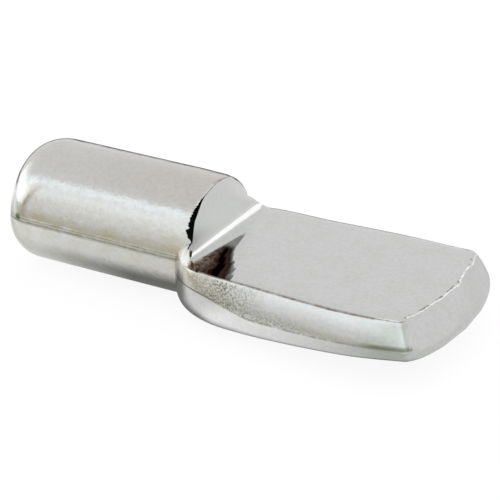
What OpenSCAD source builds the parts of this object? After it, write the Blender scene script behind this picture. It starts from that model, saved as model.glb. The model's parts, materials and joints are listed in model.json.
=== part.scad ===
// Shelf support pin: a round shank that pushes into the hole of a cabinet side, and a flat-topped
// blade that carries the shelf. One piece of cold-forged steel wire, nickel plated.
// The origin is on the shank's axis where the shoulder starts, so the plain shank lies along -X.
// +X runs to the blade's tip and +Z is up, in millimetres.

/* [Shank] */
// Diameter of the round shank
shank_d = 6.2; // [4.8:0.1:8]
// Length of the plain shank, from the start of the shoulder to its far end
shank_l = 9.05; // [6:0.05:15]
// Radius that rounds the far end of the shank
shank_end_r = 1.3; // [0.4:0.1:2]

/* [Step] */
// Length of the neck, from the start of the shoulder to the step
neck_l = 1.85; // [1:0.05:3]
// Amount by which the neck's radius has drawn in at the step
neck_draw = 0.04; // [0.01:0.01:0.2]
// Radius that rounds the edge of the step
step_edge_r = 0.45; // [0.1:0.05:0.9]
// Radius of the hollow fillet at the foot of the step
foot_r = 0.8; // [0.3:0.1:1.2]

/* [Seat] */
// Height of the shelf seat above the shank's axis
seat_z = 0.24; // [-0.5:0.02:0.8]
// Length of the seat, from the step to the middle of its tip
seat_l = 12.4; // [9:0.1:18]

/* [Blade] */
// Width across the bulged sides, beside the step
root_w = 8.5; // [7:0.1:11]
// Width across the bulged sides, at the tip
tip_w = 9.6; // [7:0.1:12]
// Extra width that the sides gain half way along
waist_gain = 0.65; // [0:0.05:1.2]
// Depth by which the underside hangs below the shank, beside the step
root_drop = 0.11; // [0:0.01:0.6]
// Thickness under the seat, at the tip
tip_t = 2.25; // [1.6:0.05:3.4]
// Extra thickness that the underside gains half way along
belly_gain = 0.2; // [0:0.05:0.5]
// Height that the sides would close over at, above the seat
crown_h = 1.55; // [1:0.05:2.2]
// Squareness of the underside: 2 is an ellipse, more is boxier
under_power = 4.3; // [2:0.1:6]
// Depth of the side crease, as a share of the thickness
crease_share = 0.5; // [0.35:0.01:0.6]
// Share of that crease depth that is left at the shoulder
crease_rise = 0.5; // [0.3:0.05:1]

/* [Shoulder] */
// Length over which the sides spread to full width, at the seat
shoulder_run = 2.65; // [1.6:0.05:5]
// Extra length that the spread takes at the underside
shoulder_drag = 1.6; // [0:0.1:3]
// Fullness of the shoulder's corner: 2 is a quarter ellipse, more is squarer
shoulder_power = 1.85; // [1.4:0.05:3]
// Share of the thickness with which the spread starts, inside the shank
shoulder_tuck = 0.85; // [0.7:0.01:0.9]
// Angle by which the shoulder leans back under the shank
root_lean = 5; // [0:1:15]

/* [Tip] */
// Angle by which the end face slopes out below the seat
tip_lean = 27; // [0:1:35]
// Radius of the tip's curved end, seen from above
tip_plan_r = 11.6; // [8:0.1:40]
// Radius of the tip's upright corners
tip_corner_r = 0.4; // [0.2:0.1:1.5]
// Radius that rounds the end face into the underside
tip_under_r = 0.9; // [0.4:0.05:1.5]

/* [Hidden] */
$fn = 96;
steel = [0.78, 0.79, 0.77];
shank_r = shank_d / 2;
root_t = seat_z + shank_r + root_drop;
shoulder_reach = shoulder_run + shoulder_drag;
clear = 1;                // how far the punch reaches past the metal
core_share = 0.6;         // where the underside's curve is centred, as a share of the crease's depth
bow_growth = 3;           // power with which the rings take up the tip's curve along the blade
under_share = 0.8;        // most of the metal below the crease that the tip's lower rounding may take
face_mid = 0.4;           // depth that the end face's rings close in on, as a share of its thickness
face_core = 0.12;         // size of the innermost ring of the end face
first_ring = 0.12;        // distance of the first ring past the start of the shoulder
ring_crowding = 1.4;      // power that crowds the shoulder's rings towards its start
shoulder_rings = 16;
blade_rings = 9;
tip_rings = 7;
face_rings = 4;
side_steps = 9;           // points on each side, from the crown to the crease
under_steps = 11;         // points on each half of the underside

function mix(a, b, t) = a * (1 - t) + b * t;
function limit(v) = min(1, max(0, v));
function hump(t) = 4 * t * (1 - t);
// Rise of a superellipse quarter: 0 at t = 0, and 1, level, at t = 1
function quarter(t, power) = pow(1 - pow(1 - limit(t), power), 1 / power);

// Sizes of the section at station s, the distance along the seat from the step. It is negative in the neck.
function share(s) = limit(s / seat_l);
function half_w(s) = (mix(root_w, tip_w, share(s)) + waist_gain * hump(share(s))) / 2;
function thick(s) = mix(root_t, tip_t, share(s)) + belly_gain * hump(share(s));
function lean(s) = mix(-root_lean, tip_lean, share(s));
// The crease rises towards the start of the shoulder
function crease_level(s) = 1 - (1 - crease_rise) * pow(1 - limit((s + neck_l) / shoulder_reach), 2);
function crease(s) = thick(s) * crease_share * crease_level(s);

// Share of the full width that has formed by station s: the underside follows later than the seat
function spread(s, depth) =
    quarter((s + neck_l) / (shoulder_run + shoulder_drag * limit(depth / thick(s))), shoulder_power);
function tuck(s) = mix(shoulder_tuck, 1, quarter((s + neck_l) / shoulder_run, shoulder_power));

// How far a rounding of radius r has pulled in at station s, on the way to the tip
function pulled_in(s, r) = seat_l - s < r ? r - sqrt(max(0, r * r - pow(r - (seat_l - s), 2))) : 0;
// The tip's lower rounding stops short of the side crease
under_round = min(tip_under_r, under_share * tip_t * (1 - crease_share));

// Points of half a section are [half width, depth under the seat].
// The bulging side: a quarter ellipse from the crown, above the seat, down to the crease
function upper_side(w, crease_z) = [
    for (i = [0 : side_steps - 1])
        let (a = 90 * (1 - i / side_steps))
        [w * cos(a), crease_z - (crease_z + crown_h) * sin(a)]
];

// The underside: part of a superellipse, from the crease round to the keel
function underside(w, crease_z, keel_z) =
    let (core_z = crease_z * core_share)
    let (start = asin(pow((crease_z - core_z) / (keel_z - core_z), under_power / 2)))
    let (full_w = w / pow(cos(start), 2 / under_power))
    [for (i = [0 : under_steps])
        let (a = mix(start, 90, i / under_steps))
        [full_w * pow(max(0, cos(a)), 2 / under_power), mix(core_z, keel_z, pow(sin(a), 2 / under_power))]];

function half_section(s) =
    let (w = half_w(s) - pulled_in(s, tip_corner_r), keel_z = thick(s) - pulled_in(s, under_round))
    concat(upper_side(w, crease(s)), underside(w, crease(s), keel_z));

// The same half section as far as the shoulder has formed it
function formed(s) = [for (p = half_section(s)) [p[0] * spread(s, p[1]), p[1] * (p[1] > 0 ? tuck(s) : 1)]];

// Places a section point in space: the ring leans, and bows back towards the sides of the tip
function placed(s, y, depth) = [
    neck_l + s + sin(lean(s)) * depth - pow(share(s), bow_growth) * y * y / (2 * tip_plan_r),
    y,
    seat_z - cos(lean(s)) * depth
];

// A closed ring of points. A size below 1 draws it in towards the middle of the end face.
function ring(s, size = 1) =
    let (half = formed(s), n = len(half), mid = thick(s) * face_mid)
    concat(
        [for (i = [0 : n - 1]) placed(s, size * half[i][0], mix(mid, half[i][1], size))],
        [for (i = [n - 2 : -1 : 1]) placed(s, -size * half[i][0], mix(mid, half[i][1], size))]
    );

// Stations: close together where the shoulder swells and where the tip rounds off
tip_start = seat_l - max(tip_corner_r, under_round);
shoulder_end = shoulder_run;
stations = concat(
    [for (i = [0 : shoulder_rings - 1])
        mix(first_ring - neck_l, shoulder_end, pow(i / shoulder_rings, ring_crowding))],
    [for (i = [0 : blade_rings - 1]) mix(shoulder_end, tip_start, i / blade_rings)],
    [for (i = [0 : tip_rings]) mix(tip_start, seat_l, sin(90 * i / tip_rings))]
);

// Two triangles between points a and b of a ring and the same points of the next, n further on
function quad(a, b, n) = [[a, b, b + n], [a, b + n, a + n]];

// The blade as forged, before its seat is struck: a loft through the rings, closed by the bowed end face
module blade_body() {
    rings = concat(
        [for (s = stations) ring(s)],
        [for (i = [1 : face_rings]) ring(seat_l, mix(1, face_core, i / face_rings))]
    );
    n = len(rings[0]);
    last = (len(rings) - 1) * n;
    polyhedron(
        points = [for (r = rings) each r],
        faces = concat(
            [[for (i = [n - 1 : -1 : 0]) i]],
            [for (k = [0 : n : last - n], i = [0 : n - 1]) each quad(k + i, k + (i + 1) % n, n)],
            [[for (i = [0 : n - 1]) last + i]]
        )
    );
}

// The space that the forging punch strikes out: over the seat and in front of the step
module seat_punch() {
    reach = seat_l + 2 * clear;
    rise = shank_r + clear;
    wide = max(root_w, tip_w) + waist_gain + 2 * clear;
    translate([neck_l, 0, 0])
        rotate([90, 0, 0])
            linear_extrude(wide, center = true)
                difference() {
                    translate([0, seat_z]) square([reach, rise]);
                    foot_fillet();
                }
}

// The metal left in the corner between the step and the seat
module foot_fillet() {
    difference() {
        translate([0, seat_z]) square(foot_r);
        translate([foot_r, seat_z + foot_r]) circle(foot_r);
    }
}

// Half of the outline of the shank and its neck: x is the radius, y runs from the step to the far end
module shank_profile() {
    far_end = neck_l + shank_l;
    step_r = shank_r - neck_draw;
    polygon([
        [0, 0], [step_r - step_edge_r, 0], [step_r, step_edge_r], [shank_r, neck_l],
        [shank_r, far_end - shank_end_r], [shank_r - shank_end_r, far_end], [0, far_end]
    ]);
    quarter_disc([step_r - step_edge_r, step_edge_r], step_edge_r);
    quarter_disc([shank_r - shank_end_r, far_end - shank_end_r], shank_end_r);
}

// The half of a disc that lies away from the axis
module quarter_disc(centre, r) {
    intersection() {
        translate(centre) circle(r);
        translate([centre[0], centre[1] - r]) square([r, 2 * r]);
    }
}

module shank() {
    translate([neck_l, 0, 0])
        rotate([0, -90, 0])
            rotate_extrude()
                shank_profile();
}

module shelf_pin() {
    color(steel)
        union() {
            shank();
            difference() {
                blade_body();
                seat_punch();
            }
        }
}

shelf_pin();
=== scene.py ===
import json
import math

import bmesh
import bpy
from bpy.props import FloatProperty, FloatVectorProperty, PointerProperty
from bpy.types import Operator, Panel, PropertyGroup
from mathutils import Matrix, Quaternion, Vector, noise


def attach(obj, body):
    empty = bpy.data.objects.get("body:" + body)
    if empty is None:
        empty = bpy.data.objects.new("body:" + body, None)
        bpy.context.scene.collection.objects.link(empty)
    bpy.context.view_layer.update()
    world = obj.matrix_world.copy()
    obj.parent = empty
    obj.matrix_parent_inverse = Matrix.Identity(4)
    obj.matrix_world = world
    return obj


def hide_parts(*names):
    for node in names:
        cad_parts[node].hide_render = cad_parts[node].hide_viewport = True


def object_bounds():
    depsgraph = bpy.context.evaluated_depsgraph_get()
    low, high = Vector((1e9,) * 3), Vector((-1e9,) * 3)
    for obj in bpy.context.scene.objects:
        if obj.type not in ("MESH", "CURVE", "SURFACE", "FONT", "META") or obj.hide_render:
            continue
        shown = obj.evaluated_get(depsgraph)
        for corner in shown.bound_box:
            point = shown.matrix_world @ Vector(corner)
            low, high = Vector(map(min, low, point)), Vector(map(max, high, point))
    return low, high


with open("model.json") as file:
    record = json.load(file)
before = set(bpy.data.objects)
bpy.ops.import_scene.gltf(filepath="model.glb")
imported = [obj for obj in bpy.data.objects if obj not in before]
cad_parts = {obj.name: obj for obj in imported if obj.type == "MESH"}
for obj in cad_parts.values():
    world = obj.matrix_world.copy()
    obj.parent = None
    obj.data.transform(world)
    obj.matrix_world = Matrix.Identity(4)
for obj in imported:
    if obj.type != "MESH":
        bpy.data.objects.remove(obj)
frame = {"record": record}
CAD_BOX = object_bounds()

bl_info = {
    "name": "Shelf Support Pin",
    "version": (1, 0, 0),
    "blender": (4, 5, 0),
    "location": "3D View > Sidebar > Shelf Pin",
    "description": "Models a cold-forged, nickel-plated shelf support pin and its studio",
    "category": "Add Mesh",
}

MM = 0.001
MOUNTS = {mount["name"]: mount for mount in frame["record"]["mounts"]}
CAD_LOW, CAD_HIGH = CAD_BOX

# The camera's sensor, in millimetres, and the closest that it sees
SENSOR_W = 36
NEAREST = 0.01

# How finely the skins are drawn
SIDE_STEPS = 22
UNDER_STEPS = 26
SEAT_COLUMNS = 40


def length(name, description, millimetres):
    """A property for a length, which Blender keeps in metres."""
    return FloatProperty(
        name=name, description=description, default=millimetres * MM, unit="LENGTH", precision=5, min=0.0
    )


def factor(name, description, default):
    """A property for a plain number, such as a share or a power."""
    return FloatProperty(name=name, description=description, default=default, precision=3)


def angle(name, description, degrees):
    """A property for an angle, which Blender keeps in radians."""
    return FloatProperty(name=name, description=description, default=math.radians(degrees), subtype="ANGLE")


def linear(code):
    """An sRGB hex colour as linear red, green, blue and alpha."""
    parts = [int(code[i:i + 2], 16) / 255 for i in (0, 2, 4)]
    return tuple(p / 12.92 if p <= 0.04045 else ((p + 0.055) / 1.055) ** 2.4 for p in parts) + (1.0,)


def grey(level):
    """A neutral grey of a given brightness, as linear values."""
    return (level, level, level, 1.0)


def colour(name, description, code):
    """A property for a colour, which Blender keeps as linear values."""
    return FloatVectorProperty(
        name=name, description=description, default=linear(code), size=4, subtype="COLOR", min=0.0, max=1.0
    )


class PinSizes(PropertyGroup):
    """The sizes of the forged part. Those that the frame gives come from it."""

    shank_d: FloatProperty(
        name="Shank diameter", description="Diameter of the round shank", unit="LENGTH", precision=5,
        default=2 * MOUNTS["shank"]["dims"]["r_mm"] * MM,
    )
    shank_l: FloatProperty(
        name="Shank length", description="From the start of the shoulder to the far end", unit="LENGTH",
        precision=5, default=-CAD_LOW.x,
    )
    shank_end_r: length("Shank end radius", "Rounds the far end of the shank", 1.22)
    shank_end_l: length("Shank end length", "Length over which that rounding runs out along the shank", 1.7)
    neck_l: length("Neck length", "From the start of the shoulder to the step", 1.85)
    neck_draw: length("Neck draw", "Amount by which the neck's radius has drawn in at the step", 0.04)
    step_edge_r: length("Step edge radius", "Rounds the edge of the step, behind", 0.35)
    step_rim_r: length("Step rim radius", "Breaks the edge of the step, in front", 0.02)
    foot_front_r: length("Front foot radius", "Hollow fillet at the foot of the step, at the -Y side", 0.25)
    foot_back_r: length("Back foot radius", "The same fillet at the +Y side", 0.66)
    seat_z: FloatProperty(
        name="Seat height", description="Height of the seat above the shank's axis", unit="LENGTH",
        precision=5, default=MOUNTS["shelf_seat"]["pos_m"][2],
    )
    seat_l: length("Seat length", "From the step to the middle of the tip", 12.285)
    roll_r: length("Edge roll width", "Width over which the seat rolls down to its long edges", 0.5)
    roll_drop: length("Edge roll drop", "Amount by which the seat has dropped at its long edges", 0.08)
    lip_start: length("Lip start", "Half width of the punch beside the step, where it leaves a lip", 3.05)
    lip_sweep: length("Lip sweep", "Length over which the punch's rounded corner turns", 0.32)
    root_w: length("Root width", "Width across the bulged sides, beside the step", 8.5)
    tip_w: length("Tip width", "Width across the bulged sides, at the tip", 9.75)
    waist_gain: length("Waist gain", "Extra width that the sides gain half way along", 0.531)
    tip_narrow: length("Tip narrowing", "Amount by which each side draws in over the last third", 0.22)
    root_drop: length("Root drop", "Depth by which the underside hangs below the shank", 0.042)
    tip_t: length("Tip thickness", "Thickness under the seat, at the tip", 2.2)
    belly_gain: length("Belly gain", "Extra thickness that the underside gains half way along", 0.135)
    crown_h: length("Crown height", "Height that the sides would close over at, above the seat", 1.55)
    crown_tip: length("Crown height at the tip", "The same height at the tip", 1.2)
    crown_root: length("Crown drop at the root", "Amount by which it is lower beside the step", 0.3)
    side_power: factor("Side power", "Squareness of the bulging side: 2 is an ellipse", 2.2)
    under_power: factor("Underside power", "Squareness of the underside: 2 is an ellipse", 4.3)
    under_tip: factor("Underside power at the tip", "The same squareness at the tip", 6.3)
    crease_root: factor(
        "Crease at the root", "Depth of the side crease at the shoulder, as a share of the thickness", 0.285
    )
    crease_share: factor("Crease share", "The same share along the blade", 0.475)
    crease_tip: factor("Crease at the tip", "The same share at the tip", 0.612)
    core_share: factor("Core share", "Where the underside's curve is centred, as a share of the crease", 0.6)
    shoulder_run: length("Shoulder run", "Length over which the sides spread, at the seat", 2.65)
    shoulder_drag: length("Shoulder drag", "Extra length that the spread takes at the underside", 1.6)
    shoulder_power: factor("Shoulder power", "Fullness of the shoulder's corner", 1.85)
    shoulder_tuck: factor("Shoulder tuck", "Share of the thickness with which the spread starts", 0.85)
    root_lean: angle("Root lean", "Angle by which the shoulder leans back under the shank", 5)
    tip_lean: angle("Tip lean", "Angle by which the end face slopes out below the seat", 29.1)
    tip_plan_r: length("Tip plan radius", "Radius of the tip's curved end, seen from above", 11.54)
    back_root: factor("Back at the root", "Share by which the +Y half is the wider, at the root", -0.027)
    back_tip: factor("Back at the tip", "The same share at the tip", 0.042)
    tip_corner_r: length("Tip corner radius", "Radius of the tip's upright corners", 0.38)
    tip_under_r: length("Tip under radius", "Rounds the end face into the underside", 0.72)
    face_mid: factor("Face middle", "Depth that the end face's rings close in on", 0.4)


class ForgingMarks(PropertyGroup):
    """The marks that the dies and the punch left."""

    seam_gap: length("Seam gap", "Distance between the two lines of the parting seam", 0.18)
    seam_w: length("Seam width", "Width of each line of the parting seam", 0.11)
    seam_depth: length("Seam depth", "Depth of the parting seam's lines", 0.02)
    lap_w: length("Lap width", "Width of the open lap behind the struck rim, at its widest", 0.34)
    lap_tail: length("Lap tail", "Width of the lap where it closes up", 0.032)
    lap_depth: length("Lap depth", "Depth of the open lap, at its widest", 0.22)
    lap_teeth: length("Lap teeth", "Reach of the torn teeth along the lap", 0.095)
    rim_t: length("Rim thickness", "Thickness of the thin rim in front of the lap", 0.012)
    burr_r: length("Burr radius", "Mean radius of the burr along the tip's edge", 0.058)
    burr_jitter: length("Burr jitter", "Amount by which the burr swells and thins", 0.05)
    burr_wander: length("Burr wander", "Amount by which the burr strays from the edge", 0.09)


class PlateFinish(PropertyGroup):
    """The colours of the plate, of the films and dirt on it, and of the painted light and shade on it. All of
    these tint the plate.
    """

    plate: colour("Plate", "Bright nickel", "CCCDCD")
    plate_dull: colour("Dull plate", "Nickel that the bath left a little milky", "C9CAC8")
    # Painted reflection: a warm tint on the top of the shank
    warm_top_reflection: colour("Warm film", "Tint on the top of the shank", "F8F2EE")
    # Partly a film, partly painted shade towards the parting seam
    film_and_painted_shade: colour("Seam film", "Tint down to the parting seam", "F0E9CF")
    seam_dirt: colour("Seam dirt", "Tint in the lines of the parting seam", "A2A69A")
    verdigris: colour("Verdigris", "Tint of the green spot at the far end", "6F8F7C")
    # Painted highlight, on the far end and on the step's face
    painted_highlight: colour("Burnished plate", "The brightest plate, at the far end", "F2F3F2")
    # Painted shade round the far end's painted highlight
    painted_shade_ring: colour("Bath ring", "Tint of the ring round the far end's bright patch", "D3CBBB")
    grain_dark: colour("Dark grain", "Tint in the pits of the struck sides", "9A9B8C")
    grain_mid: colour("Grain", "Tint between the pits", "E4E4DC")
    beige_film: colour("Beige film", "Tint on the lip", "F6EEDD")
    # Painted shade along the crease
    crease_painted_shade: colour("Crease scale", "Tint of the scale along the crease", "9B9B90")
    # Painted shade at the tip's end of the crease
    olive_painted_shade: colour("Olive film", "Tint at the tip's end of the crease", "B4B7A9")
    tip_film: colour("Tip film", "Tint of the sides near the tip", "ECF1EA")
    # Painted shade on the neck beside the lap
    rim_painted_shade: colour("Rim shade", "Tint on the neck, beside the closed end of the lap", "8A7B72")
    # Also the colour of the painted shadow behind the burr
    edge_line_and_burr_shadow: colour("Edge line", "Tint of the line under the seat's edges", "9A897F")


def mix(a, b, t):
    return a * (1 - t) + b * t


def limit(v):
    return min(1.0, max(0.0, v))


def smooth(v):
    """0 below 0, 1 above 1, and an even slope between."""
    t = limit(v)
    return t * t * (3 - 2 * t)


def hump(t):
    return 4 * t * (1 - t)


def quarter(t, power):
    """Rise of a superellipse quarter: 0 at t = 0, and 1, level, at t = 1."""
    return (1 - (1 - limit(t)) ** power) ** (1 / power)


# Sizes of the blade's section at station s, the distance along the seat from the step.

def share(d, s):
    return limit(s / d.seat_l)


def half_width(d, s):
    t = share(d, s)
    return (mix(d.root_w, d.tip_w, t) + d.waist_gain * hump(t)) / 2 - d.tip_narrow * smooth(3 * t - 2)


def thickness(d, s):
    t = share(d, s)
    root = d.seat_z + d.shank_d / 2 + d.root_drop
    return mix(root, d.tip_t, t) + d.belly_gain * hump(t)


def lean(d, s):
    return mix(-d.root_lean, d.tip_lean, share(d, s))


def crease_depth(d, s):
    along = mix(d.crease_share, d.crease_tip, share(d, s))
    past_root = (s - 0.6 * MM) / (3.6 * MM)
    return thickness(d, s) * mix(d.crease_root, along, smooth(past_root))


def crown(d, s, front=True):
    """Height that the sides would close over at. In front it is lower beside the step, where the lip is."""
    lip_l = 0.72 * MM
    height = mix(d.crown_h, d.crown_tip, smooth(3 * share(d, s) - 2))
    return height - (d.crown_root * (1 - smooth(s / lip_l)) if front else 0)


def spread(d, s, depth):
    """Share of the full width that has formed by station s: the underside follows later than the seat."""
    run = d.shoulder_run + d.shoulder_drag * limit(depth / thickness(d, s))
    return quarter((s + d.neck_l) / run, d.shoulder_power)


def tuck(d, s):
    return mix(d.shoulder_tuck, 1, quarter((s + d.neck_l) / d.shoulder_run, d.shoulder_power))


def pulled_in(d, s, r):
    """How far a rounding of radius r has pulled in at station s, on the way to the tip."""
    left = d.seat_l - s
    return r - math.sqrt(max(0.0, r * r - (r - left) ** 2)) if left < r else 0.0


def under_round(d):
    """Radius between the end face and the underside, kept clear of the crease."""
    return min(d.tip_under_r, 0.8 * d.tip_t * (1 - d.crease_tip))


def seat_edge(d, s):
    """Half width of the seat at station s."""
    crease = crease_depth(d, s)
    rise = crease / (crease + crown(d, s))
    width = half_width(d, s) - pulled_in(d, s, d.tip_corner_r)
    return width * (1 - rise ** d.side_power) ** (1 / d.side_power) * spread(d, s, 0)


def blade_section(d, s, front):
    """Points of half a section, as half width and depth under the seat: the side and then the underside.
    The front side loses its bulge near the tip, where it was sheared."""
    shear_run = 0.15
    shear_start = 5.66
    width = half_width(d, s) - pulled_in(d, s, d.tip_corner_r)
    keel = thickness(d, s) - pulled_in(d, s, under_round(d))
    crease = crease_depth(d, s)
    core = crease * d.core_share
    edge = seat_edge(d, s) / spread(d, s, 0)
    points = []
    for i in range(SIDE_STEPS):
        a = math.pi / 2 * (1 - i / SIDE_STEPS)
        y = width * max(0.0, math.cos(a)) ** (2 / d.side_power)
        z = crease - (crease + crown(d, s, front)) * math.sin(a) ** (2 / d.side_power)
        if z > 0 and front:
            y = mix(y, mix(edge, width, z / crease), smooth(share(d, s) / shear_run - shear_start))
        points.append((y, z))
    power = mix(d.under_power, d.under_tip, share(d, s) ** 3)
    start = math.asin(((crease - core) / (keel - core)) ** (power / 2))
    full = width / math.cos(start) ** (2 / power)
    for i in range(UNDER_STEPS + 1):
        a = mix(start, math.pi / 2, i / UNDER_STEPS)
        points.append((
            full * max(0.0, math.cos(a)) ** (2 / power),
            mix(core, keel, math.sin(a) ** (2 / power)),
        ))
    return [(y * spread(d, s, z), z * (tuck(d, s) if z > 0 else 1)) for y, z in points]


def skew(d, s, y):
    """The factor by which the blade's +Y half is wider than its -Y half, at station s."""
    if y <= 0:
        return 1
    t = share(d, s)
    root_end = 0.75
    tip_run = 0.3
    root = 1 - t / root_end if t < root_end else 0
    return 1 + d.back_root * root + d.back_tip * smooth((t - 0.7) / tip_run)


def bow(d, s, y):
    """How far the curved plan of the tip has drawn back at half width y."""
    return share(d, s) ** 3 * y * y / (2 * d.tip_plan_r)


def blade_ring(d, s, size=1.0):
    """A closed ring of the blade, which leans and bows. A size below 1 draws it in on the end face."""
    mid = thickness(d, s) * d.face_mid
    back = [(y * size, mix(mid, z, size)) for y, z in blade_section(d, s, False)]
    front = [(-y * size, mix(mid, z, size)) for y, z in blade_section(d, s, True)]
    points = back + front[-2:0:-1]
    tilt = lean(d, s)
    edge = seat_edge(d, s)
    return [
        Vector((
            d.neck_l + s + math.sin(tilt) * z - bow(d, s, max(y, min(edge, -y))),
            y * skew(d, s, y),
            d.seat_z - math.cos(tilt) * z,
        ))
        for y, z in points
    ]


def blade_rings(d):
    """Rings from inside the shank to the middle of the end face, close together where the form turns."""
    shoulder, middle, tip, face = 48, 36, 12, 12
    crowding = 1.4
    face_core = 0.04
    start = 0.12 * MM - d.neck_l
    tip_start = d.seat_l - under_round(d)
    stations = [mix(start, d.shoulder_run, (i / shoulder) ** crowding) for i in range(shoulder)]
    stations += [mix(d.shoulder_run, tip_start, i / middle) for i in range(middle)]
    stations += [mix(tip_start, d.seat_l, math.sin(math.pi / 2 * i / tip)) for i in range(tip + 1)]
    rings = [blade_ring(d, s) for s in stations]
    return rings + [blade_ring(d, d.seat_l, mix(1, face_core, i / face)) for i in range(1, face + 1)]


def lip_corner(d, s):
    """Half width of the punch where its cut-off corner leaves the lip standing."""
    turn = 0.8 * MM
    slope = 0.25
    return d.lip_start + turn * (1 - math.exp(-s / d.lip_sweep)) + slope * s


def punch_rings(d):
    """Rings of the punch. Its floor leaves the foot fillet and rolls down over the seat's long edges, and its
    corners beside the step are cut off, so that the lip stays standing there."""
    foot_steps, lip_steps, seat_steps = 20, 15, 40
    lip_end = 1.5 * MM
    corner_end = 0.95 * MM
    corner_slope = 9
    crowding = 0.6
    clear = 1 * MM
    stations = [d.foot_back_r * (1 - math.cos(math.pi / 2 * i / foot_steps)) for i in range(foot_steps + 1)]
    end = d.seat_l + clear
    stations += [mix(d.foot_back_r, lip_end, i / lip_steps) for i in range(1, lip_steps)]
    stations += [mix(lip_end, end, i / seat_steps) for i in range(seat_steps + 1)]
    top = d.shank_d / 2 + clear
    rings = []
    for s in stations:
        edge = seat_edge(d, min(s, d.seat_l - d.tip_corner_r))
        past = edge + 1.2 * MM
        lip_free = min(past, lip_corner(d, s) + corner_slope * max(0.0, s - corner_end))
        fade = smooth(s / d.foot_front_r) * smooth((d.seat_l - s) / (3 * MM))
        ring = []
        for i in range(SEAT_COLUMNS + 1):
            t = 2 * i / SEAT_COLUMNS - 1
            y = past * t ** crowding if t > 0 else -lip_free * abs(t) ** crowding
            foot = mix(d.foot_front_r, d.foot_back_r, limit(y / (2 * edge) + 0.5))
            rest = max(0.0, foot - s)
            fillet = foot - math.sqrt(max(0.0, foot ** 2 - rest ** 2))
            over = max(0.0, (abs(y) / skew(d, s, y) - edge + d.roll_r) / d.roll_r)
            drop = d.roll_drop * (over ** 2 if over < 1 else 2 * over - 1)
            ring.append(Vector((d.neck_l + s, y, d.seat_z + fillet - drop * fade)))
        ring += [Vector((d.neck_l + s, past, top)), Vector((d.neck_l + s, -lip_free, top))]
        rings.append(ring)
    return rings


def bell(v, middle, width):
    """1 in the middle, falling away to either side."""
    return math.exp(-((v - middle) / width) ** 2)


def rim_offset(d, theta):
    """How far the struck rim stands off the neck, in metres, at an angle that runs from -Y up."""
    deg = math.degrees(theta)
    bulge = smooth((deg - 24) / 14) * (1 - smooth((deg - 62) / 40))
    return MM * (
        0.13 * bulge + 0.09 * bell(deg, 57, 8) - 0.1 * bell(deg, 18, 8)
        - 0.04 * smooth((deg - 100) / 15)
    )


def front_share(theta):
    """1 on the front of the step's edge, where it was struck sharp, and 0 behind. Theta runs from -Y up."""
    return smooth((theta + 0.9) / 0.6) * smooth((2.2 - theta) / 0.4)


def shank_angles(marks, radius):
    """Angles round the shank, from -Y upwards, crowded together over the parting seam at either side."""
    across, between = 22, 140
    half = 1.2 * marks.seam_gap / radius
    fine = [half * (2 * i / across - 1) for i in range(across + 1)]
    coarse = [mix(half, math.pi - half, i / between) for i in range(1, between)]
    upper = fine + coarse
    return upper + [math.pi + theta for theta in upper]


def seam_dip(marks, x, off):
    """Depth of the parting seam at station x, off to one side of its middle. It comes and goes."""
    wander = 0.02 * MM * noise.noise(Vector((x / (0.9 * MM), 3.1, 0)))
    dip = 0.0
    for side, mean in ((-0.5, 1.0), (0.5, 0.5)):
        strength = mean + 0.6 * noise.noise(Vector((x / (0.5 * MM), 7 * side, 1.7)))
        away = (off - wander - side * marks.seam_gap) / marks.seam_w
        dip += strength * math.exp(-4 * away * away)
    return marks.seam_depth * dip


def shank_rings(d, marks):
    """Rings of the shank, from the far end's flat to the middle of the step's face."""
    radius = d.shank_d / 2
    stations = [("end", math.pi / 2 * i / 14) for i in range(15)]
    stations += [("plain", i / 56) for i in range(1, 57)]
    stations += [("neck", i / 12) for i in range(1, 13)]
    stations += [("edge", math.pi / 2 * i / 8) for i in range(1, 9)]
    stations += [("face", mix(1, 0.05, i / 6)) for i in range(1, 7)]
    rings = []
    for part, t in stations:
        ring = []
        for theta in shank_angles(marks, radius):
            theta = theta - 2 * math.pi if theta > math.pi * 1.5 else theta
            edge = mix(d.step_edge_r, d.step_rim_r, front_share(theta))
            flare = rim_offset(d, theta)
            x = d.neck_l - edge
            r = radius - d.neck_draw
            tight = mix(0.72, 1, smooth((math.sin(theta) + 0.6) / 1.2))
            if part == "end":
                x = -d.shank_l + d.shank_end_l * tight * (1 - math.cos(t))
                r = radius - d.shank_end_r * tight * (1 - math.sin(t))
            elif part == "plain":
                x = mix(d.shank_end_l * tight - d.shank_l, 0, t)
                r = radius
            elif part == "neck":
                x *= t
                r = radius - d.neck_draw * t + flare * smooth((t - 0.8) / 0.2)
            elif part == "edge":
                x += edge * math.sin(t)
                r += flare - edge * (1 - math.cos(t))
            else:
                x = d.neck_l
                r = (r + flare - edge) * t
            if part != "face":
                off = radius * math.asin(math.sin(theta))
                r -= seam_dip(marks, x, off)
            ring.append(Vector((x, -r * math.cos(theta), r * math.sin(theta))))
        rings.append(ring)
    return rings


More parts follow.
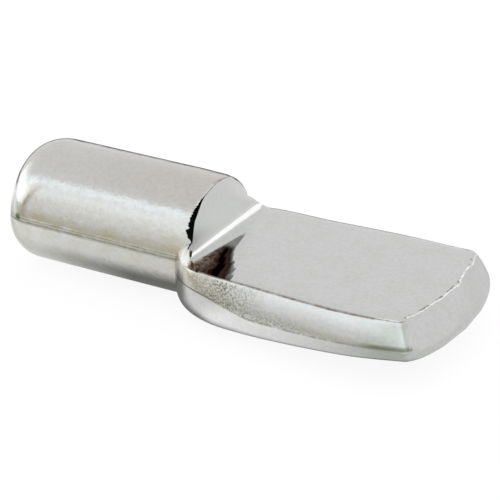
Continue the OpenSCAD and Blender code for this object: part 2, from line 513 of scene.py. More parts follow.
def lap_rings(d, marks):
    """Rings of the tool that opens the lap behind the rim: a torn wedge that follows the step's front edge.
    It is widest low down, and its upper end closes up to a hairline."""
    low, closed = math.radians(12), math.radians(106)
    steps = 260
    surface = d.shank_d / 2 - d.neck_draw
    rings = []
    for i in range(steps + 1):
        theta = mix(low, closed, i / steps)
        deg = math.degrees(theta)
        wide = smooth((deg - 12) / 17) * (1 - smooth((deg - 42) / 24))
        tooth = noise.noise(Vector((theta * 30, 0.4, 0))) + 0.9 * noise.noise(Vector((theta * 85, 2.6, 0)))
        tail = marks.lap_tail * (0.7 + 0.6 * noise.noise(Vector((theta * 20, 5.1, 0))))
        tail += 0.04 * MM * (1 - smooth((deg - 15) / 6))
        w = max(0.5 * marks.lap_tail, tail + marks.lap_w * wide + marks.lap_teeth * wide * tooth)
        floor = surface - marks.lap_depth * wide - 0.06 * MM
        right = d.neck_l - marks.rim_t
        top = surface + mix(0.6, 0.35, smooth((deg - 16) / 8)) * MM
        outline = [
            (right - w - 0.02 * MM, top), (right, top), (right, floor),
            (right - 0.45 * w, floor + 0.02 * MM), (right - w, surface - 0.03 * MM),
        ]
        rings.append([Vector((x, -r * math.cos(theta), r * math.sin(theta))) for x, r in outline])
    return rings


def burr_rings(d, marks):
    """Rings of the burr that the trimming left along the tip's upper edge: a string of uneven beads."""
    rings = []
    edge = seat_edge(d, d.seat_l) - 0.02 * MM
    steps = 300
    sides = 10
    for i in range(steps + 1):
        t = 2 * i / steps - 1
        y = edge * t
        beads = (
            noise.noise(Vector((y / (0.16 * MM), 9.2, 0)))
            + 0.8 * noise.noise(Vector((y / (0.45 * MM), 2.7, 0)))
        )
        ends = smooth((1 - abs(t)) / 0.02)
        r = max(0.4 * marks.burr_r, marks.burr_r + marks.burr_jitter * beads) * mix(0.35, 1, ends)
        kink = bell(y / MM, 0.4, 0.55) - bell(y / MM, 1.5, 0.7)
        wander = marks.burr_wander * (noise.noise(Vector((y / (0.7 * MM), 4.4, 0))) + kink)
        x = d.neck_l + d.seat_l - y * y / (2 * d.tip_plan_r) - 0.4 * r + wander
        ring = []
        for k in range(sides):
            a = 2 * math.pi * k / sides
            ring.append(Vector((
                x + r * math.cos(a), y * skew(d, d.seat_l, y), d.seat_z + 0.35 * r + r * math.sin(a),
            )))
        rings.append(ring)
    return rings


def deselect_everything():
    bpy.ops.object.select_all(action="DESELECT")


def only(obj):
    """Makes obj the active object and the only one selected."""
    deselect_everything()
    obj.select_set(True)
    bpy.context.view_layer.objects.active = obj


def lay_on_ring(obj, ring):
    """Moves the selected points to their places on a ring."""
    mesh = bmesh.from_edit_mesh(obj.data)
    place = mesh.verts.layers.int["place"]
    for vert in mesh.verts:
        if vert.select:
            vert.co = ring[vert[place]]
    bmesh.update_edit_mesh(obj.data)


def draw_out(name, rings, finish):
    """A closed skin: a filled circle is extruded from ring to ring, and its points are laid on each."""
    deselect_everything()
    bpy.ops.mesh.primitive_circle_add(vertices=len(rings[0]), radius=1 * MM, fill_type="NGON")
    skin = bpy.context.object
    skin.name = name
    skin.data.name = name
    skin.data.materials.append(finish)
    bpy.ops.object.mode_set(mode="EDIT")
    mesh = bmesh.from_edit_mesh(skin.data)
    place = mesh.verts.layers.int.new("place")
    for i, vert in enumerate(mesh.verts):
        vert[place] = i
    lay_on_ring(skin, rings[0])
    for ring in rings[1:]:
        bpy.ops.mesh.extrude_region_move()
        lay_on_ring(skin, ring)
    bpy.ops.mesh.select_all(action="SELECT")
    bpy.ops.mesh.normals_make_consistent(inside=False)
    bpy.ops.object.mode_set(mode="OBJECT")
    return skin


def darken_lip_wall(punch, d, darkening):
    """Gives the punch's floor a dark brown colour along its cut-off corner, which leaves it beside the lip.
    """
    punch.data.materials.append(darkening)
    for face in punch.data.polygons:
        s = face.center.x - d.neck_l
        corner = lip_corner(d, s)
        if 0 < s < 1.05 * MM and face.center.y < 0.15 * MM - corner:
            face.material_index = 1


def combine(body, tool, operation):
    """Adds the tool to the body or cuts it out, and deletes the tool."""
    only(body)
    change = body.modifiers.new(operation.title(), "BOOLEAN")
    change.operation = operation
    change.solver = "EXACT"
    change.material_mode = "TRANSFER"
    change.object = tool
    bpy.ops.object.modifier_apply(modifier=change.name)
    bpy.data.objects.remove(tool)
    if not body.data.polygons:
        raise RuntimeError(f"{operation.lower()} left nothing of {body.name}")


class SHELFPIN_OT_forge(Operator):
    """Forges the pin: draws the shank and the blade, strikes the seat and joins them"""

    bl_idname = "shelf_pin.forge"
    bl_label = "Forge the pin"

    def execute(self, context):
        d = context.scene.pin_sizes
        marks = context.scene.pin_marks
        plate = nickel(context)
        # The lap is a real recess; its near-black colour is painted shadow in it
        scale = flat_finish("black_lap_shadow", "0C0A09", 0.9)
        bare = flat_finish("bare_bright_steel", "DADAD8", 0.28, metallic=1.0)
        pin = draw_out("forged_pin", blade_rings(d), plate)
        punch = draw_out("punch", punch_rings(d), plate)
        darken_lip_wall(punch, d, flat_finish("dark_brown_wall", "3A2A23", 0.7))
        combine(pin, punch, "DIFFERENCE")
        combine(pin, draw_out("shank", shank_rings(d, marks), plate), "UNION")
        combine(pin, draw_out("lap", lap_rings(d, marks), scale), "DIFFERENCE")
        combine(pin, draw_out("burr", burr_rings(d, marks), bare), "UNION")
        only(pin)
        bpy.ops.object.shade_smooth_by_angle(angle=math.radians(35))
        mark_sections(pin, d)
        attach(pin, "root")
        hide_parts("shelf_pin")
        return {"FINISHED"}


def add(tree, kind, inputs=None, **settings):
    """Adds a node with its settings. Each input, by name or number, gets a value or a link from a node."""
    node = tree.nodes.new("ShaderNode" + kind)
    for name, value in settings.items():
        setattr(node, name, value)
    for key, value in (inputs or {}).items():
        if isinstance(key, int):
            socket = node.inputs[key]
        else:
            socket = next(each for each in node.inputs if each.enabled and each.name == key)
        if isinstance(value, bpy.types.Node):
            value = next(each for each in value.outputs if each.enabled)
        if isinstance(value, bpy.types.NodeSocket):
            tree.links.new(value, socket)
        else:
            socket.default_value = value
    return node


def band(tree, value, low, high, soft):
    """A mask that is 1 where the value lies between low and high, with soft edges."""
    rise = add(tree, "MapRange", {
        "Value": value, "From Min": low - soft, "From Max": low + soft,
    }, interpolation_type="SMOOTHSTEP")
    fall = add(tree, "MapRange", {
        "Value": value, "From Min": high - soft, "From Max": high + soft, "To Min": 1, "To Max": 0,
    }, interpolation_type="SMOOTHSTEP")
    return add(tree, "Math", {0: rise, 1: fall}, operation="MULTIPLY")


def overlap(tree, *masks):
    """A mask that is 1 only where all the masks are."""
    whole = masks[0]
    for mask in masks[1:]:
        whole = add(tree, "Math", {0: whole, 1: mask}, operation="MULTIPLY")
    return whole


def tinted(tree, under, mask, tint):
    """The colour under a mask, multiplied by a tint, which is a colour or a node."""
    tint = tint if isinstance(tint, bpy.types.Node) else tint[:]
    return add(tree, "Mix", {"Factor": mask, "A": under, "B": tint}, data_type="RGBA", blend_type="MULTIPLY")


def shaded(tree, value, *stops):
    """The colour that a value takes on a ramp. Stops are places and hex colours."""
    ramp = add(tree, "ValToRGB", {"Fac": value})
    points = ramp.color_ramp.elements
    while len(points) < len(stops):
        points.new(1)
    for point, (at, code) in zip(points, stops):
        point.position = at
        point.color = linear(code) if isinstance(code, str) else code
    return ramp


def nickel(context):
    """Bright nickel plate over cold-forged steel: a mirror with the dies' soft waves, dull in the grain."""
    finish = context.scene.pin_finish
    material, tree = new_tree("bright_nickel_plate")
    place = add(tree, "TexCoord")
    mm = add(tree, "Mapping", {"Vector": place.outputs["Object"], "Scale": (1 / MM, 1 / MM, 1 / MM)})
    x, y, z = add(tree, "SeparateXYZ", {"Vector": mm}).outputs
    section = add(tree, "Attribute", attribute_name="section").outputs["Fac"]
    side = add(tree, "Attribute", attribute_name="side").outputs["Fac"]
    shank = add(tree, "Attribute", attribute_name="on_shank").outputs["Fac"]

    # Milky clouds of the plating bath, 1 to 2 mm across, and a fine mottle
    cloud = add(tree, "TexNoise", {"Vector": mm, "Scale": 0.8, "Detail": 4.0, "Roughness": 0.65})
    paint = shaded(tree, cloud, (0.3, finish.plate_dull[:]), (0.7, finish.plate[:]))
    mottle = add(tree, "TexNoise", {"Vector": mm, "Scale": 5.0, "Detail": 3.0, "Roughness": 0.7})
    flecks = shaded(tree, mottle, (0.35, "F7F7F6"), (0.6, "FFFFFF"))
    paint = tinted(tree, paint, 1.0, flecks)
    # Painted reflection: the top of the shank tinted warm and a little darker, more so towards the step
    high = add(tree, "MapRange", {
        "Value": z, "From Min": 1.9, "From Max": 2.6,
    }, interpolation_type="SMOOTHSTEP")
    warm = add(tree, "MapRange", {
        "Value": x, "From Min": -9.0, "From Max": 1.0, "To Min": 0.25, "To Max": 1.0,
    })
    paint = tinted(tree, paint, overlap(tree, shank, high, warm), finish.warm_top_reflection)

    # Yellowish film that thickens down to the parting seam, and painted shade that darkens the shank towards
    # the seam
    blotch = add(tree, "TexNoise", {"Vector": mm, "Scale": 0.9, "Detail": 3.0, "Roughness": 0.6})
    thick = add(tree, "MapRange", {"Value": blotch, "From Min": 0.3, "From Max": 0.7})
    toward_seam = add(tree, "MapRange", {"Value": z, "From Min": 2.1, "From Max": 0.0})
    above = add(tree, "MapRange", {"Value": z, "From Min": -0.05, "From Max": 0.05})
    paint = tinted(tree, paint, overlap(tree, shank, toward_seam, above, thick), finish.film_and_painted_shade)
    below = add(tree, "MapRange", {"Value": z, "From Min": 0.05, "From Max": -0.05, "To Max": 0.5})
    paint = tinted(tree, paint, overlap(tree, shank, below, thick), finish.film_and_painted_shade)

    # The two lines of the parting seam hold dark dirt that comes and goes
    crumbs = add(tree, "TexNoise", {"Vector": mm, "Scale": 2.6, "Detail": 4.0, "Roughness": 0.75})
    broken = add(tree, "MapRange", {"Value": crumbs, "From Min": 0.38, "From Max": 0.56})
    darkening = add(tree, "MapRange", {"Value": broken, "To Min": 0.55, "To Max": 1.0})
    lower_line = overlap(tree, band(tree, z, -0.12, -0.02, 0.05), shank, darkening)
    paint = tinted(tree, paint, lower_line, finish.seam_dirt)
    faint = add(tree, "MapRange", {"Value": broken, "To Min": 0.1, "To Max": 0.6})
    upper_line = overlap(tree, band(tree, z, 0.06, 0.13, 0.04), shank, faint)
    paint = tinted(tree, paint, upper_line, finish.seam_dirt)
    spot = add(tree, "VectorMath", {0: mm, 1: (-8.1, -3.0, 0.1)}, operation="DISTANCE").outputs["Value"]
    spot = add(tree, "MapRange", {
        "Value": spot, "From Min": 0.26, "From Max": 0.08,
    }, interpolation_type="SMOOTHSTEP")
    paint = tinted(tree, paint, spot, finish.verdigris)

    # A painted highlight on the far end's rounding, and a faint line of painted shade round it
    reach = add(tree, "MapRange", {"Value": z, "From Min": 0.0, "From Max": 1.9})
    reach = add(tree, "Math", {0: reach, 1: 3.0}, operation="POWER")
    reach = add(tree, "MapRange", {"Value": reach, "To Min": 7.85, "To Max": 6.95})
    past_line = add(tree, "Math", {0: x, 1: reach}, operation="ADD")
    front_half = add(tree, "MapRange", {"Value": y, "From Min": -1.0, "From Max": -2.0})
    end_highlight = add(tree, "MapRange", {
        "Value": past_line, "From Min": -0.1, "From Max": -0.6,
    }, interpolation_type="SMOOTHSTEP")
    end_highlight = overlap(tree, end_highlight, band(tree, z, 0.5, 2.0, 0.3), front_half, 0.42)
    paint = add(tree, "Mix", {"Factor": end_highlight, "A": paint, "B": finish.painted_highlight[:]}, data_type="RGBA")
    ring = overlap(tree, band(tree, past_line, -0.05, 0.2, 0.26), band(tree, z, 0.2, 1.7, 0.3), front_half)
    paint = tinted(tree, paint, ring, finish.painted_shade_ring)

    # Painted brown shade on the neck, beside the closed end of the lap
    near_edge = band(tree, x, 1.68, 1.9, 0.16)
    in_front = add(tree, "MapRange", {"Value": y, "From Min": 0.6, "From Max": -0.2})
    neck_painted_shade = overlap(tree, near_edge, band(tree, z, 2.0, 3.2, 0.4), in_front, shank)
    paint = tinted(tree, paint, neck_painted_shade, finish.rim_painted_shade)

    # Struck grain of the sides, 0.1 mm across, drawn that coarse so that it shows
    grain = add(tree, "TexNoise", {"Vector": mm, "Scale": 11.0, "Detail": 2.0, "Roughness": 0.7})
    speck = shaded(tree, grain, (0.4, finish.grain_dark[:]), (0.5, finish.grain_mid[:]), (0.6, (1, 1, 1, 1)))
    low_side = add(tree, "MapRange", {"Value": section, "From Min": 0.45, "From Max": 0.9})
    tail = add(tree, "MapRange", {
        "Value": x, "From Min": 10.0, "From Max": 5.5, "To Min": 0.12, "To Max": 0.9,
    })
    root_side = add(tree, "MapRange", {"Value": x, "From Min": 7.0, "From Max": 4.5})
    lower = overlap(tree, low_side, tail)
    wide = add(tree, "Math", {0: lower, 1: root_side}, operation="MAXIMUM")
    past_lip = add(tree, "MapRange", {"Value": x, "From Min": 1.6, "From Max": 2.6})
    past_root = add(tree, "MapRange", {
        "Value": x, "From Min": 2.0, "From Max": 4.2, "To Min": 0.1, "To Max": 1,
    })
    grained = overlap(tree, band(tree, section, 0.12, 1.0, 0.04), side, past_root, wide)
    paint = tinted(tree, paint, grained, speck)

    # Beige film on the lip, and a broken dark line of painted shade along the crease, which runs into an
    # olive line of painted shade at the tip
    beige = overlap(tree, band(tree, section, 0.15, 1.0, 0.1), band(tree, x, 0.6, 4.4, 0.7), thick)
    paint = tinted(tree, paint, beige, finish.beige_film)
    lip = add(tree, "MapRange", {"Value": y, "From Min": -2.75, "From Max": -3.1})
    above_crease = add(tree, "MapRange", {"Value": section, "From Min": 1.0, "From Max": 0.8})
    lip = overlap(tree, lip, band(tree, x, 1.1, 2.5, 0.4), above_crease, 0.2)
    paint = tinted(tree, paint, lip, finish.beige_film)
    root_line = add(tree, "MapRange", {"Value": x, "From Min": 5.0, "From Max": 3.6})
    scale = add(tree, "MapRange", {"Value": broken, "To Max": 0.6})
    scale = add(tree, "Math", {0: scale, 1: root_line}, operation="MAXIMUM")
    short = add(tree, "MapRange", {
        "Value": x, "From Min": 10.0, "From Max": 12.0, "To Min": 1.0, "To Max": 0.35,
    })
    # Painted shade in a broken line along the crease
    crease = overlap(tree, band(tree, section, 0.95, 1.015, 0.025), side, scale, short)
    paint = tinted(tree, paint, crease, finish.crease_painted_shade)
    olive_shade_mask = overlap(tree, band(tree, section, 0.87, 1.01, 0.06), band(tree, x, 12.0, 14.6, 0.7), side)
    paint = tinted(tree, paint, olive_shade_mask, finish.olive_painted_shade)
    off_seat = add(tree, "MapRange", {"Value": section, "From Min": 0.08, "From Max": 0.2})
    tip_side = overlap(tree, band(tree, x, 12.0, 13.9, 1.2), side, off_seat)
    paint = tinted(tree, paint, tip_side, finish.tip_film)

    # A hair-thin brown line under the seat's long edges
    edge_line_breaks = add(tree, "MapRange", {
        "Value": crumbs, "From Min": 0.3, "From Max": 0.6, "To Min": 0.3, "To Max": 1,
    })
    rim = overlap(tree, band(tree, section, 0.05, 0.085, 0.015), side, edge_line_breaks, past_lip)
    paint = tinted(tree, paint, rim, finish.edge_line_and_burr_shadow)

    # The step's face, a little more satin than the rest, and painted a little brighter: painted light
    step_face = overlap(tree, band(tree, x, 1.845, 1.9, 0.004), band(tree, z, 0.4, 3.2, 0.1))
    step_painted_light = add(tree, "Math", {0: step_face, 1: 0.3}, operation="MULTIPLY")
    paint = add(tree, "Mix", {"Factor": step_painted_light, "A": paint, "B": finish.painted_highlight[:]}, data_type="RGBA")

    # Painted shadow in dashes behind the burr
    past_tip = add(tree, "Math", {0: y, 1: y}, operation="MULTIPLY")
    tip_bow = 1 / 23.2
    past_tip = add(tree, "Math", {0: past_tip, 1: tip_bow, 2: x}, operation="MULTIPLY_ADD")
    dashes = add(tree, "TexNoise", {"Vector": mm, "Scale": 1.7, "Detail": 2.0})
    dashes = add(tree, "MapRange", {"Value": dashes, "From Min": 0.46, "From Max": 0.56})
    flat = add(tree, "MapRange", {"Value": section, "From Min": 0.06, "From Max": 0.02})
    burr_painted_shadow = overlap(tree, band(tree, past_tip, 13.96, 14.07, 0.02), dashes, flat)
    paint = tinted(tree, paint, burr_painted_shadow, finish.edge_line_and_burr_shadow)

    # Painted dark reflection on the seat, at the foot of the step
    paint, shine = painted_dark_reflection(tree, paint, mm, section)

    rough = add(tree, "MapRange", {
        "Value": cloud, "From Min": 0.3, "From Max": 0.7, "To Min": 0.22, "To Max": 0.14,
    })
    rough = add(tree, "Mix", {"Factor": grained, "A": rough, "B": 0.36}, data_type="FLOAT")
    rough = add(tree, "Mix", {"Factor": step_face, "A": rough, "B": 0.4}, data_type="FLOAT")
    rough = add(tree, "Mix", {"Factor": shine, "A": 0.8, "B": rough}, data_type="FLOAT")
    peel = add(tree, "TexNoise", {"Vector": mm, "Scale": 1.8, "Detail": 4.0, "Roughness": 0.55})
    shank_waves = add(tree, "Math", {0: shank, 1: 0.93, 2: 0.07}, operation="MULTIPLY_ADD")
    waves = add(tree, "Bump", {"Height": peel, "Strength": shank_waves, "Distance": 0.028 * MM})
    struck = add(tree, "Math", {0: grain, 1: grained}, operation="MULTIPLY")
    bump = add(tree, "Bump", {"Height": struck, "Strength": 1.0, "Distance": 0.014 * MM, "Normal": waves})
    metal = add(tree, "BsdfPrincipled", {
        "Base Color": paint, "Metallic": shine, "Roughness": rough, "Normal": bump, "Specular IOR Level": 0.0,
    })
    add(tree, "OutputMaterial", {"Surface": metal})
    return material


def painted_dark_reflection(tree, paint, mm, section):
    """A painted dark reflection, brown and black, on the seat at the foot of the step. It lies in a wedge
    that opens to the front, and runs out in streaks. Gives the colour, and how much of the metal's shine is
    left."""
    apex = (2.8, 0.9, 0.0)
    slant = -0.135
    opening = -0.51
    from_apex = add(tree, "VectorMath", {0: mm, 1: apex}, operation="SUBTRACT")
    along, across, _ = add(tree, "SeparateXYZ", {"Vector": from_apex}).outputs
    left = add(tree, "Math", {0: across, 1: slant, 2: along}, operation="MULTIPLY_ADD")
    width = add(tree, "Math", {0: across, 1: opening}, operation="MULTIPLY")
    width = add(tree, "Math", {0: width, 1: 0.05}, operation="MAXIMUM")
    turn = add(tree, "Mapping", {
        "Vector": from_apex, "Rotation": (0, 0, math.radians(-20)), "Scale": (5, 0.7, 1),
    })
    streaks = add(tree, "TexNoise", {"Vector": turn, "Scale": 1.0, "Detail": 4.0, "Roughness": 0.75})
    fray = add(tree, "MapRange", {"Value": streaks, "To Min": -0.16, "To Max": 0.16})
    wedge = add(tree, "Math", {0: left, 1: width}, operation="DIVIDE")
    inside = add(tree, "MapRange", {"Value": wedge, "From Min": -0.02, "From Max": 0.07})
    upper = add(tree, "MapRange", {"Value": across, "From Min": -3.9, "From Max": -1.9, "To Max": 0.34})
    wedge = add(tree, "Math", {0: add(tree, "Math", {0: wedge, 1: upper}), 1: fray})
    tone = shaded(
        tree, wedge,
        (0.04, "B8AFA5"), (0.12, "8A7A6E"), (0.35, "75655B"), (0.5, "4A3228"), (0.57, "0A0403"),
        (0.69, "050202"), (0.76, "4E3B31"), (0.84, "2E221C"), (0.9, "5A5653"), (0.97, "949493"),
        (1.0, "FFFFFF"),
    )
    reflection_mottle = add(tree, "TexNoise", {"Vector": mm, "Scale": 4.0, "Detail": 3.0, "Roughness": 0.7})
    reflection_mottle = shaded(tree, reflection_mottle, (0.42, "C09A8C"), (0.52, "FFFFFF"))
    brown = add(tree, "MapRange", {"Value": wedge, "From Min": 0.85, "From Max": 0.7})
    tone = tinted(tree, tone, brown, reflection_mottle)
    near_apex = add(tree, "MapRange", {
        "Value": across, "From Min": -2.3, "From Max": -1.6,
    }, interpolation_type="SMOOTHSTEP")
    tone = add(tree, "Mix", {
        "Factor": near_apex, "A": tone, "B": linear("9A9998"),
    }, data_type="RGBA", blend_type="LIGHTEN")
    seat = band(tree, section, -1.0, 0.065, 0.008)
    front = add(tree, "MapRange", {"Value": across, "From Min": -0.2, "From Max": -0.7})
    mask = overlap(tree, seat, front, inside)
    paint = tinted(tree, paint, mask, tone)
    light = add(tree, "RGBToBW", {"Color": tone})
    matt = overlap(tree, mask, add(tree, "MapRange", {"Value": light, "From Min": 0.2, "From Max": 0.03}))
    shine = add(tree, "Math", {0: 1, 1: matt}, operation="SUBTRACT")
    return paint, shine


def mark_sections(pin, d):
    """Keeps three values for every point: how far it lies down the blade's side, which is 0 at the seat, 1 at
    the crease and 2 at the keel; whether it is on a side or the underside; and whether it is on the shank."""
    names = ("section", "side", "on_shank")
    for name in names:
        pin.data.attributes.new(name, "FLOAT", "POINT")
    section, side, on_shank = [pin.data.attributes[name].data for name in names]
    for i, vert in enumerate(pin.data.vertices):
        x, y, z = vert.co
        s = x - d.neck_l
        for _ in range(3):
            tilt = lean(d, s)
            depth = (d.seat_z - z) / math.cos(tilt)
            s = x - d.neck_l - math.sin(tilt) * depth + bow(d, s, max(y, min(seat_edge(d, s), -y)))
        crease = crease_depth(d, s)
        over = (depth - crease) / (thickness(d, s) - crease)
        section[i].value = depth / crease if depth < crease else 1 + over
        round_bar = math.hypot(y, z) < d.shank_d / 2 + 0.01 * MM and x < d.neck_l - 0.001 * MM
        end_face = s > d.seat_l - 0.02 * MM
        on_shank[i].value = float(round_bar or x < 0)
        side[i].value = 0.0 if round_bar or x < 0 or end_face else 1.0


def flat_finish(name, code, roughness, metallic=0.0):
    """A finish of one colour all over."""
    material, tree = new_tree(name)
    bsdf = add(tree, "BsdfPrincipled", {
        "Base Color": linear(code), "Roughness": roughness, "Metallic": metallic, "Specular IOR Level": 0.1,
    })
    add(tree, "OutputMaterial", {"Surface": bsdf})
    return material


def new_tree(name):
    """A new material with an empty node tree."""
    material = bpy.data.materials.new(name)
    material.use_nodes = True
    material.node_tree.nodes.clear()
    return material, material.node_tree


def floor_paper(stage):
    """Matt white paper, which takes the part's soft shadow. To the eye it is white all over. In the metal it
    glows with its own brightness, with a painted shadow close to the part and a painted brightness that
    varies along it."""
    material, tree = new_tree("matt_white_paper")
    place = add(tree, "TexCoord")
    mm = add(tree, "Mapping", {"Vector": place.outputs["Object"], "Scale": (1 / MM, 1 / MM, 1 / MM)})
    x, y, _ = add(tree, "SeparateXYZ", {"Vector": mm}).outputs
    aside = add(tree, "Math", {0: y}, operation="ABSOLUTE")
    deepest = add(tree, "MapRange", {
        "Value": x, "From Min": -8.5, "From Max": -2.5, "To Min": 0.78, "To Max": stage.shade_floor,
    })
    near = add(tree, "MapRange", {"Value": x, "From Min": 0.0, "From Max": 2.0, "To Min": 2.2, "To Max": 3.4})
    far = add(tree, "MapRange", {"Value": x, "From Min": 0.0, "From Max": 2.0, "To Min": 4.3, "To Max": 4.8})
    shade = add(tree, "MapRange", {
        "Value": aside, "From Min": near, "From Max": far, "To Min": deepest, "To Max": 1,
    }, interpolation_type="SMOOTHSTEP")
    open_floor = add(tree, "MapRange", {"Value": x, "From Min": 11.0, "From Max": 15.0})
    shade = add(tree, "Math", {0: shade, 1: open_floor}, operation="MAXIMUM")
    along = add(tree, "MapRange", {"Value": x, "From Min": -10.0, "From Max": 18.0})
    fall = shaded(
        tree, along,
        (0.0, grey(1.0)), (0.17, grey(0.88)), (0.39, grey(0.84)), (0.46, grey(1.12)),
        (0.58, grey(0.97)), (0.72, grey(0.73)), (0.84, grey(0.6)), (0.93, grey(0.76)),
    )
    matt = add(tree, "BsdfDiffuse", {"Color": linear("F6F6F6")})
    to_eye = add(tree, "Emission", {"Color": (1, 1, 1, 1), "Strength": stage.paper_glow})
    level = add(tree, "Math", {0: shade, 1: stage.paper_in_metal}, operation="MULTIPLY")
    to_metal = add(tree, "Emission", {"Color": fall, "Strength": level})
    path = add(tree, "LightPath")
    metal = add(tree, "Math", {
        0: path.outputs["Is Glossy Ray"], 1: path.outputs["Is Transmission Ray"],
    }, operation="ADD", use_clamp=True)
    eye = add(tree, "Math", {0: path.outputs["Is Camera Ray"], 1: stage.paper_to_eye}, operation="MULTIPLY")
    seen = add(tree, "MixShader", {0: eye, 1: matt, 2: to_eye})
    both = add(tree, "MixShader", {0: metal, 1: seen, 2: to_metal})
    add(tree, "OutputMaterial", {"Surface": both})
    return material


def card_glow(name, axis, stops):
    """A glowing card whose strength changes along one of its own axes. Stops are places in mm, strengths, and
    tints where they aren't white."""
    material, tree = new_tree(name)
    place = add(tree, "TexCoord")
    parts = add(tree, "SeparateXYZ", {"Vector": place.outputs["Object"]})
    stops = [(at, strength, *(tint or ["FFFFFF"])) for at, strength, *tint in stops]
    low, high = stops[0][0] * MM, stops[-1][0] * MM
    along = add(tree, "MapRange", {"Value": parts.outputs[axis], "From Min": low, "From Max": high})
    ramp = add(tree, "ValToRGB", {"Fac": along})
    peak = max(strength for _, strength, _ in stops)
    points = ramp.color_ramp.elements
    while len(points) < len(stops):
        points.new(1)
    for point, (at, strength, tint) in zip(points, stops):
        point.position = (at * MM - low) / (high - low)
        point.color = [strength / peak * c for c in linear(tint)[:3]] + [1]
    add(tree, "OutputMaterial", {
        "Surface": add(tree, "Emission", {"Color": ramp, "Strength": peak})
    })
    return material


def card(name, low, high, material, slant=0.0):
    """A flat card between two corners, in millimetres. Its upper edge may slant towards +X. It shows only in
    the metal."""
    deselect_everything()
    bpy.ops.mesh.primitive_plane_add(size=1)
    made = bpy.context.object
    made.name = name
    spans = [b - a for a, b in zip(low, high)]
    flat = spans.index(0)
    corners = [(0, 0), (1, 0), (0, 1), (1, 1)]
    first, second = [axis for axis in range(3) if axis != flat]
    for vert, (u, v) in zip(made.data.vertices, corners):
        point = list(low)
        point[first] += spans[first] * u
        point[second] += spans[second] * v
        point[0] += slant * v
        vert.co = Vector(point) * MM
    made.data.materials.append(material)
    made.visible_camera = False
    made.visible_diffuse = False
    made.visible_shadow = False
    return made


def soft_lamp(name, toward, distance, size, strength):
    """A square soft lamp that faces the middle of the part. Strength 1 is as bright as white paper."""
    data = bpy.data.lights.new(name, "AREA")
    data.size = size
    data.energy = strength * math.pi * size * size
    lamp = bpy.data.objects.new(name, data)
    bpy.context.scene.collection.objects.link(lamp)
    toward = Vector(toward).normalized()
    lamp.location = (CAD_LOW + CAD_HIGH) / 2 + toward * distance
    lamp.rotation_mode = "QUATERNION"
    lamp.rotation_quaternion = toward.to_track_quat("Z", "Y")
    lamp.visible_camera = False
    return lamp


class StageSettings(PropertyGroup):
    """The studio."""

    sky: factor("Sky strength", "Brightness of the white room; 1 is white", 0.97)
    paper_glow: factor("Paper glow", "Brightness of the paper to the eye; 1 is white", 1.04)
    paper_to_eye: factor("Paper to the eye", "Share of the glow in what the eye sees of the floor", 0.86)
    paper_in_metal: factor("Paper in the metal", "Brightness of open paper in the metal; 1 is white", 1.16)
    shade_floor: factor("Shade depth", "What is left of the paper's brightness in the deepest shade", 0.22)
    floor_w: length("Floor width", "Width of the square paper floor", 600)
    lamp_toward: FloatVectorProperty(
        name="Lamp direction", description="From the part to the soft lamp", subtype="DIRECTION", size=3,
        default=(0.462, 0.787, 0.405),
    )
    lamp_far: length("Lamp distance", "From the part to the soft lamp", 150)
    lamp_w: length("Lamp width", "Width of the soft lamp", 74)
    lamp_strength: factor("Lamp strength", "Brightness of the soft lamp; 1 is as bright as white paper", 0.74)
    aim: FloatVectorProperty(
        name="Aim", description="Point that the camera looks at", subtype="TRANSLATION", unit="LENGTH",
        size=3, precision=5, default=(3.986 * MM, -1.074 * MM, 0.302 * MM),
    )
    azimuth: angle("Azimuth", "Where the camera stands round the part, from -Y towards +X", 29.28)
    elevation: angle("Elevation", "Height of the camera above the level", 25.5)
    roll: angle("Roll", "Turn of the camera about its own axis", 0.18)
    distance: length("Distance", "From the camera to the point it looks at", 105)
    lens: factor("Lens", "Focal length in mm, on a 36 mm sensor", 158.5)


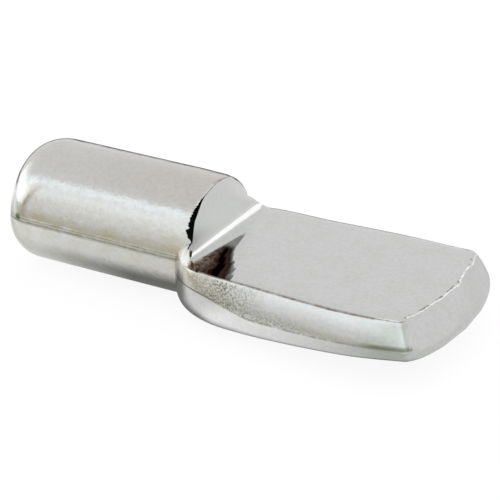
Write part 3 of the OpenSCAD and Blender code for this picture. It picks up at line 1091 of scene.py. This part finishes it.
class SHELFPIN_OT_stage(Operator):
    """Sets the pale floor, the soft lights and the camera"""

    bl_idname = "shelf_pin.stage"
    bl_label = "Set the stage"

    def execute(self, context):
        stage = context.scene.pin_stage
        deselect_everything()
        lowest = min(corner[2] for corner in context.scene.objects["forged_pin"].bound_box)
        bpy.ops.mesh.primitive_plane_add(size=stage.floor_w, location=(0, 0, lowest))
        floor = context.object
        floor.name = "paper_floor"
        bpy.ops.object.transform_apply(location=True, rotation=True, scale=True)
        floor.data.materials.append(floor_paper(stage))
        bottom = lowest / MM
        just_over = bottom + 0.05

        # The cards show only in the metal. These are pale warm strips of floor in front of the pin's sides
        gap = card_glow("gap_glow", "Y", [
            (-70, 0.9), (-40, 0.86), (-20, 0.8, "FFFDF6"), (-12, 0.74, "FFFCF0"), (-8, 0.64, "FEFAEA"),
        ])
        card("gap_card", (-90, -70, just_over), (-3, -8, just_over), gap)
        side_gap = card_glow("side_gap_glow", "Y", [
            (-70, 0.92), (-40, 0.95), (-20, 0.95, "FFFEFA"), (-12, 0.8, "FFFEF6"), (-8, 0.62, "FEFCF0"),
        ])
        card("side_gap_card", (-3, -70, just_over), (70, -8, just_over), side_gap)

        # The large soft panel in front, and the left panel with its wing and dark strip, for the far end
        panel = card_glow("panel_glow", "Z", [
            (-3, 0.93), (16, 1.0), (35, 1.12), (78, 1.33, "FBFDFF"),
            (139, 1.5, "F6FBFF"), (216, 1.45, "F6FBFF"),
        ])
        card("front_panel", (-260, -130, bottom), (180, -130, 216), panel)
        left = card_glow("left_glow", "Z", [(-3, 1.6), (50, 1.6), (85, 1.35), (130, 1.05)])
        card("left_panel", (-200, -128, bottom), (-200, 60, 130), left)
        card("left_wing", (-260, -128, bottom), (-158, -128, 130), left, slant=75)
        dark = card_glow("dark_glow", "Z", [(-3, 0.4), (70, 0.75)])
        card("dark_strip", (-168, -127, bottom), (-136, -127, 55), dark, slant=42)

        # A dim card behind the shank, which draws its thin dark upper outline
        behind = card_glow("behind_glow", "Y", [(8, 0.1), (60, 0.2), (140, 0.4)])
        card("behind_card", (-90, 8, just_over), (1, 140, just_over), behind)
        soft_lamp("back_lamp", stage.lamp_toward, stage.lamp_far, stage.lamp_w, stage.lamp_strength)
        world = bpy.data.worlds.new("studio")
        context.scene.world = world
        world.use_nodes = True
        tree = world.node_tree
        tree.nodes.clear()
        path = add(tree, "LightPath")
        level = add(tree, "MapRange", {
            "Value": path.outputs["Is Camera Ray"], "To Min": stage.sky, "To Max": 1,
        })
        sky = add(tree, "Background", {"Color": (1, 1, 1, 1), "Strength": level})
        add(tree, "OutputWorld", {"Surface": sky})
        back = Vector((
            math.sin(stage.azimuth) * math.cos(stage.elevation),
            -math.cos(stage.azimuth) * math.cos(stage.elevation),
            math.sin(stage.elevation),
        ))
        camera = bpy.data.objects.new("camera", bpy.data.cameras.new("camera"))
        context.scene.collection.objects.link(camera)
        camera.data.lens = stage.lens
        camera.data.sensor_width = SENSOR_W
        camera.data.clip_start = NEAREST
        camera.location = Vector(stage.aim) + back * stage.distance
        camera.rotation_mode = "QUATERNION"
        camera.rotation_quaternion = Quaternion(back, stage.roll) @ (-back).to_track_quat("-Z", "Y")
        context.scene.camera = camera
        context.scene.view_settings.view_transform = "Standard"
        return {"FINISHED"}


GROUPS = {
    "pin_sizes": PinSizes,
    "pin_marks": ForgingMarks,
    "pin_finish": PlateFinish,
    "pin_stage": StageSettings,
}


class SHELFPIN_PT_panel(Panel):
    """Lists the operators, each under the settings that it reads"""

    bl_idname = "SHELFPIN_PT_panel"
    bl_label = "Shelf Support Pin"
    bl_space_type = "VIEW_3D"
    bl_region_type = "UI"
    bl_category = "Shelf Pin"

    def draw(self, context):
        steps = (
            ("Pin", SHELFPIN_OT_forge, ("pin_sizes", "pin_marks", "pin_finish")),
            ("Stage", SHELFPIN_OT_stage, ("pin_stage",)),
        )
        for title, operator, groups in steps:
            box = self.layout.box()
            box.label(text=title)
            for group in groups:
                column = box.column(align=True)
                for name in GROUPS[group].__annotations__:
                    column.prop(getattr(context.scene, group), name)
            box.operator(operator.bl_idname)


CLASSES = (*GROUPS.values(), SHELFPIN_OT_forge, SHELFPIN_OT_stage, SHELFPIN_PT_panel)


def register():
    for each in CLASSES:
        bpy.utils.register_class(each)
    for name, group in GROUPS.items():
        setattr(bpy.types.Scene, name, PointerProperty(type=group))


def unregister():
    for name in GROUPS:
        delattr(bpy.types.Scene, name)
    for each in reversed(CLASSES):
        bpy.utils.unregister_class(each)


def main():
    register()
    bpy.ops.shelf_pin.forge()
    bpy.ops.shelf_pin.stage()


if __name__ == "__main__":
    main()
